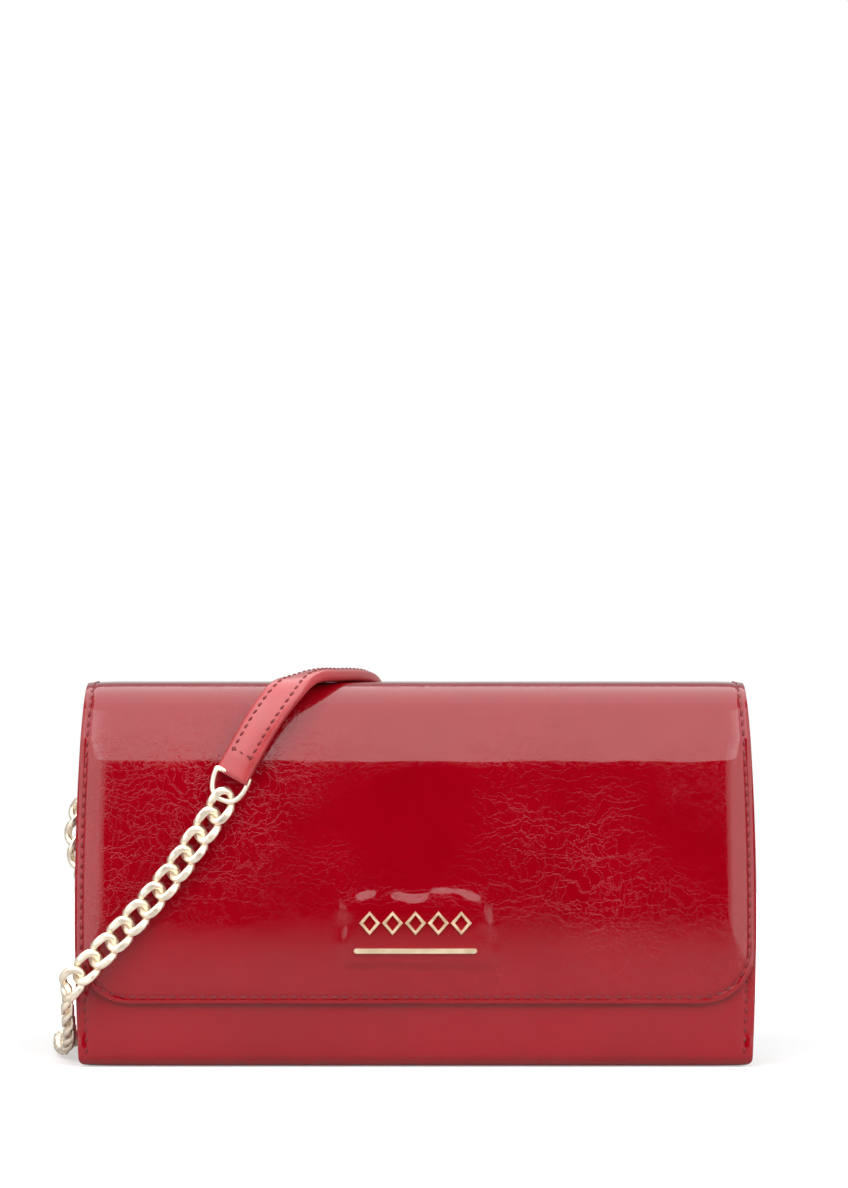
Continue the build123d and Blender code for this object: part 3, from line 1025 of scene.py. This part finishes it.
def wall_profile():
    """The wrap of the walls: down the front, under the base and up the back.
    Each entry is y, z and the tilt of the surface, as for the flap."""
    out = []
    for k in range(FRONT_STEPS):
        t = k / (FRONT_STEPS - 1)
        z = MOUTH - 1.0 - (MOUTH - 1.0 - BASE_ROUND) * t
        lean = 1.5 * smooth((z - 102) / 14) ** 1.3
        out.append((FRONT - 0.35 * math.sin(math.pi * t) + lean, z, 0.0))
    for k in range(1, 11):
        a = math.pi / 2 * k / 10
        out.append((FRONT + BASE_ROUND * (1 - math.cos(a)), BASE_ROUND * (1 - math.sin(a)), -a))
    for k in range(1, 9):
        out.append((FRONT + BASE_ROUND + (BACK - FRONT - 2 * BASE_ROUND) * k / 9, 0.0, -math.pi / 2))
    for k in range(11):
        a = math.pi / 2 * (1 - k / 10)
        out.append((BACK - BASE_ROUND * (1 - math.cos(a)), BASE_ROUND * (1 - math.sin(a)), -math.pi + a))
    for k in range(1, BACK_STEPS + 1):
        t = k / BACK_STEPS
        z = BASE_ROUND + (BACK_TOP - 0.6 - BASE_ROUND) * t
        out.append((BACK + 0.3 * math.sin(math.pi * min(t * 1.2, 1.0)), z, -math.pi))
    return out


WALLS = wall_profile()


def wall_half(z):
    """Half the walls' width at a height, with their round lower corners."""
    if z >= WALL_CORNER:
        return half_width(z)
    rise = WALL_CORNER - z
    return half_width(z) - WALL_CORNER + math.sqrt(WALL_CORNER**2 - rise * rise)


def wall_point(i, x, below=0.0):
    y, z, tilt = WALLS[i]
    side = max(wall_half(z) - abs(x), 0.0)
    high = smooth(z / 14)
    sink = (0.3 + 0.8 * high) * math.exp(-side / 5.0) + high * groove(side, WALL_SEAM) + below
    fade = smooth(side / 8) * smooth(z / 6)
    sink += fade * 0.16 * noise.noise(Vector((x / 30, z / 18, 20.0 if y < 0 else 40.0)))
    return Vector((x, y + math.cos(tilt) * sink, z - math.sin(tilt) * sink))


def make_walls():
    def place(depth):
        def point(i, j):
            return wall_point(i, across(j, WALL_COLUMNS) * wall_half(WALLS[i][1]), depth)
        return point

    verts, faces, marks = grid_shell(len(WALLS), WALL_COLUMNS, place(0.0), place(WALL))
    piece = new_piece(
        "wall_leather", verts, faces, [PATENT_SMOOTH, LINING, EDGE], "bag", marks=marks
    )
    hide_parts("front_panel", "back_panel", "base_panel")
    verts, faces = [], []
    for rows in (range(FRONT_STEPS), range(len(WALLS) - BACK_STEPS, len(WALLS))):
        for side in (-1, 1):
            run = [wall_point(i, side * (wall_half(WALLS[i][1]) - WALL_SEAM)) for i in rows]
            ways = [Vector((side * 0.1, -math.cos(WALLS[i][2]), 0)).normalized() for i in rows]
            join(verts, faces, stitch_row(run, ways, WALL_PITCH, WALL_STITCH, slant=0.10))
    new_piece("wall_stitching", verts, faces, [THREAD_RED], "bag")


make_walls()


GUSSET_LOW, GUSSET_HIGH = 1.7, MOUTH - 4.0
GUSSET_X, GUSSET_HALF = 112.6, 17.0


def make_gusset(side, name):
    """A soft fold between the front and back walls, deeper at the mouth than at the base."""
    rows, cols = 40, 31

    def place(depth):
        def point(i, j):
            z = GUSSET_LOW + (GUSSET_HIGH - GUSSET_LOW) * i / (rows - 1)
            t = 2 * j / (cols - 1) - 1
            fold = 7.5 + 5.0 * smooth(z / 60)
            x = GUSSET_X - fold * (1 - abs(t) ** 1.7) ** 0.9
            x += 0.35 * noise.noise(Vector((t * 2.2, z / 24, 5.0 + side))) * (1 - t * t)
            y = GUSSET_HALF * t
            return Vector((side * (x - depth), y * (1 - 0.02 * depth), z))
        return point

    verts, faces, marks = grid_shell(rows, cols, place(0.0), place(1.0))
    piece = new_piece(f"{name}_gusset_leather", verts, faces, [PATENT_SMOOTH, LINING, EDGE],
                      "bag", marks=marks)
    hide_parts(f"{name}_gusset")


for side, name in ((-1, "left"), (1, "right")):
    make_gusset(side, name)


# ---------------------------------------------------------------- metal trim
def lathe(name, outline, centre, body, node, count=40):
    """A turned piece round an axis along Y. The outline is radius and y, in millimetres."""
    verts, faces = [], []
    cols = len(outline)
    for k in range(count):
        turn = 2 * math.pi * k / count
        for radius, y in outline:
            verts.append((centre[0] + radius * math.cos(turn), y, centre[1] + radius * math.sin(turn)))
    for k in range(count):
        for m in range(cols - 1):
            a, b = k * cols + m, (k + 1) % count * cols + m
            faces.append((a, a + 1, b + 1, b))
    work = bmesh.new()
    points = [work.verts.new([c * MM for c in v]) for v in verts]
    for face in faces:
        work.faces.new([points[c] for c in face])
    bmesh.ops.remove_doubles(work, verts=work.verts, dist=1e-6)
    mesh = bpy.data.meshes.new(name)
    bmesh.ops.recalc_face_normals(work, faces=work.faces)
    work.to_mesh(mesh)
    work.free()
    mesh.materials.append(GOLD)
    mesh.shade_smooth()
    piece = bpy.data.objects.new(name, mesh)
    bpy.context.collection.objects.link(piece)
    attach(piece, body)
    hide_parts(node)


cap_low, cap_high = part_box("snap_cap")
SNAP_Z = (cap_low.z + cap_high.z) * 500
CAP_FRONT = PROFILE[row_at(SNAP_Z)][0] + SKIN + CLOTH - 0.75
lathe(
    "snap_button",
    [(0, CAP_FRONT), (7.2, CAP_FRONT), (7.8, -21.6), (7.8, -20.7), (7.3, -20.35), (3.2, -20.3),
     (2.3, -20.1), (2.2, -19.0), (1.8, -18.7), (0, -18.65)],
    (0, SNAP_Z), "flap", "snap_cap",
)
lathe(
    "snap_ring",
    [(0, -17.9), (7.6, -17.9), (7.9, -18.3), (7.9, -20.9), (7.4, -21.3), (4.6, -21.28), (3.8, -20.9),
     (3.8, -18.5), (3.2, -18.3), (0, -18.3)],
    (0, SNAP_Z), "bag", "snap_socket",
)


TRIM_THICK, TRIM_BEVEL, TRIM_ROOT = 0.9, 0.28, 0.6
FRETS = 5
FRET_WIDTH = 7.2
FRET_METAL = 2.9


def plate(name, loops, body, node):
    """Raised metal shapes with a small bevel. Each has an outer line and, if it is open, an inner one."""
    verts, faces = [], []
    levels = (0.0, -TRIM_ROOT), (0.0, TRIM_THICK - TRIM_BEVEL), (TRIM_BEVEL, TRIM_THICK)
    for outer, inner in loops:
        layers = []
        for inset, rise in levels:
            for line, way in ((outer, 1), (inner, -1)) if inner else ((outer, 1),):
                centre = sum(line, Vector()) / len(line)
                ring = []
                for q in line:
                    away = (q - centre).normalized()
                    spot = q - away * inset * way
                    row = row_at(spot.z)
                    ring.append(len(verts))
                    verts.append(Vector((spot.x, flap_point(row, spot.x).y - rise, spot.z)))
                layers.append(ring)
        count = len(outer)
        if inner:
            chain = [layers[0], layers[2], layers[4], layers[5], layers[3], layers[1], layers[0]]
        else:
            chain = layers
            faces.append(tuple(layers[0]))
            faces.append(tuple(reversed(layers[-1])))
        for p, q in zip(chain, chain[1:]):
            for k in range(count):
                faces.append((p[k], p[(k + 1) % count], q[(k + 1) % count], q[k]))
    piece = new_piece(name, verts, faces, [GOLD], body, soft=False)
    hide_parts(node)


def bar_line(width, height, z, count=9):
    out = []
    for s in (1, -1):
        for k in range(count):
            a = math.pi * (k / (count - 1) - 0.5)
            x = s * (width / 2 - height / 2 + height / 2 * math.cos(a))
            out.append(Vector((x, 0, z + s * height / 2 * math.sin(a))))
    return out


def lozenge_line(x, z, width, height):
    return [Vector((x - width / 2, 0, z)), Vector((x, 0, z + height / 2)),
            Vector((x + width / 2, 0, z)), Vector((x, 0, z - height / 2))]


bar_low, bar_high = (Vector(c) * 1000 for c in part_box("ornament_bar"))
bar = bar_line(bar_high.x - bar_low.x, bar_high.z - bar_low.z, (bar_low.z + bar_high.z) / 2)
plate("ornament_strip", [(bar, None)], "flap", "ornament_bar")
fret_low, fret_high = (Vector(c) * 1000 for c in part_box("ornament_frets"))
fret_height = fret_high.z - fret_low.z
fret_z = (fret_low.z + fret_high.z) / 2
fret_step = (fret_high.x - fret_low.x - FRET_WIDTH) / (FRETS - 1)
lozenges = []
for k in range(FRETS):
    x = fret_low.x + FRET_WIDTH / 2 + fret_step * k
    lozenges.append((
        lozenge_line(x, fret_z, FRET_WIDTH, fret_height),
        lozenge_line(x, fret_z, FRET_WIDTH - FRET_METAL, fret_height - FRET_METAL),
    ))
plate("ornament_lozenges", lozenges, "flap", "ornament_frets")


# ---------------------------------------------------------------- ring tabs
def make_tab(name):
    """A folded strip of leather round the D-ring's bar, stitched across."""
    low, high = (Vector(c) * 1000 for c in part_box(f"{name}_ring_tab"))
    bar_z, mid_y = low.z + 2.0, (low.y + high.y) / 2
    line = [(low.y + 0.15, high.z)] + [(low.y + 0.15, high.z - 0.8 * k) for k in range(1, 12)]
    for k in range(13):
        a = math.pi * k / 12
        line.append((mid_y - 1.85 * math.cos(a), bar_z - 0.2 - 1.9 * math.sin(a)))
    line += [(high.y - 0.15, bar_z + 0.8 * k) for k in range(1, 12)]
    rows, cols = len(line), 9

    def place(depth):
        def point(i, j):
            y, z = line[i]
            toward = (mid_y - y) / max(abs(mid_y - y), 0.5)
            up = 0.6 if 11 < i < rows - 12 else 0.0
            x = low.x + (high.x - low.x) * j / (cols - 1)
            return Vector((x, y + toward * depth * 0.8, z + up * depth))
        return point

    verts, faces, marks = grid_shell(rows, cols, place(0.0), place(1.0))
    tab = new_piece(f"{name}_tab_leather", verts, faces, [SATIN, SATIN, EDGE], "bag",
                    marks=marks)
    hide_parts(f"{name}_ring_tab")
    z = low.z + 5.2
    run = [Vector((low.x + 1.5 + (high.x - low.x - 3.0) * k / 8, high.y - 0.1, z)) for k in range(9)]
    verts, faces = stitch_row(run, [Vector((0, 1, 0))] * 8, 2.6, 2.0)
    new_piece(f"{name}_tab_stitching", verts, faces, [THREAD_RED], "bag")


for side_name in ("left", "right"):
    make_tab(side_name)

low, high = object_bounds()
